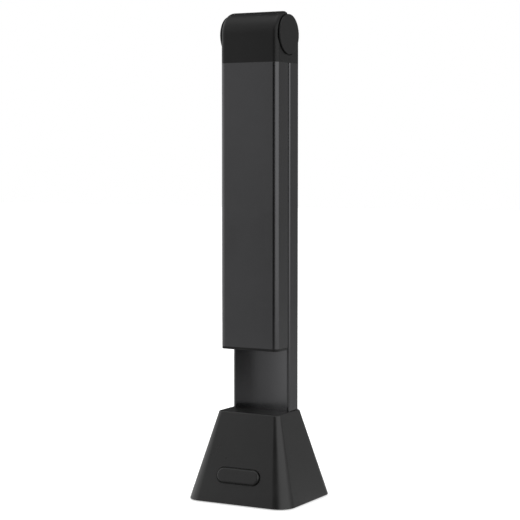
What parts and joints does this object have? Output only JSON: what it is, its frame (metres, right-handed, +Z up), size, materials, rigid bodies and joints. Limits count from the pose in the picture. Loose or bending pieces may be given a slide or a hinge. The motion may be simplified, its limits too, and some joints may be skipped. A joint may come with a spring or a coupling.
{
  "type": "overhead document scanner",
  "caption": "Folding desk document scanner: tapered base, flat metal column and a hinged camera arm with a light bar, folded down in front of the column.",
  "frame": {"origin": "middle of the footprint on the table", "axes": "+Z up, the front of the folded scanner faces -Y, +X to its right-hand side seen from the front"},
  "size_m": [0.0828, 0.0726, 0.3455],
  "materials": {
    "black_plastic": "fine matt texture",
    "grey_metal": "satin dark grey",
    "rubber": "matt",
    "steel": "plain",
    "screw_steel": "plain",
    "bronze": "plain",
    "grey_plastic": "satin",
    "circuit_board": "satin",
    "chip": "satin",
    "diode": "gloss",
    "milky_plastic": "milky",
    "lens_glass": "coated",
    "window_glass": "clear, dark tint",
    "flat_cable": "satin",
    "wire_jacket": "satin"
  },
  "bodies": {
    "stand": {"base_shell": "black_plastic", "oval_badge": "black_plastic", "bottom_plate": "black_plastic", "rubber_feet": "rubber", "steel_weight": "steel", "column_foot_plate": "steel", "base_screws": "screw_steel", "weight_screws": "screw_steel", "foot_plate_screws": "screw_steel", "column_foot_screws": "screw_steel", "socket_board_screws": "screw_steel", "socket_board": "circuit_board", "usb_socket": "steel", "column_tube": "grey_metal", "column_cap": "black_plastic", "column_cap_screws": "screw_steel", "column_hinge_bracket": "steel", "hinge_bushes": "bronze", "column_wires": "wire_jacket"},
    "arm": {"hinge_axle": "steel", "friction_washers": "grey_plastic", "disc_springs": "steel", "hinge_nut": "steel", "hinge_cover_left": "black_plastic", "hinge_cover_right": "black_plastic", "arm_shell": "grey_metal", "arm_head": "black_plastic", "arm_hinge_bracket": "steel", "arm_bracket_screws": "screw_steel", "arm_end_cap": "black_plastic", "underside_cover": "black_plastic", "light_touch_key": "grey_plastic", "light_diffuser": "milky_plastic", "led_board": "circuit_board", "leds": "diode", "led_board_screws": "screw_steel", "camera_board": "circuit_board", "image_sensor": "chip", "lens_holder": "black_plastic", "lens_barrel": "black_plastic", "front_lens": "lens_glass", "camera_window": "window_glass", "main_board": "circuit_board", "main_board_chips": "chip", "light_connector": "grey_plastic", "arm_board_screws": "screw_steel", "camera_flat_cable": "flat_cable", "arm_wires": "wire_jacket"}
  },
  "joints": [
    {"name": "arm_hinge", "type": "hinge", "parent": "stand", "child": "arm", "pos_m": [0, 0, 0.3293], "axis": [-1, 0, 0], "range_deg": [0, 90]}
  ]
}
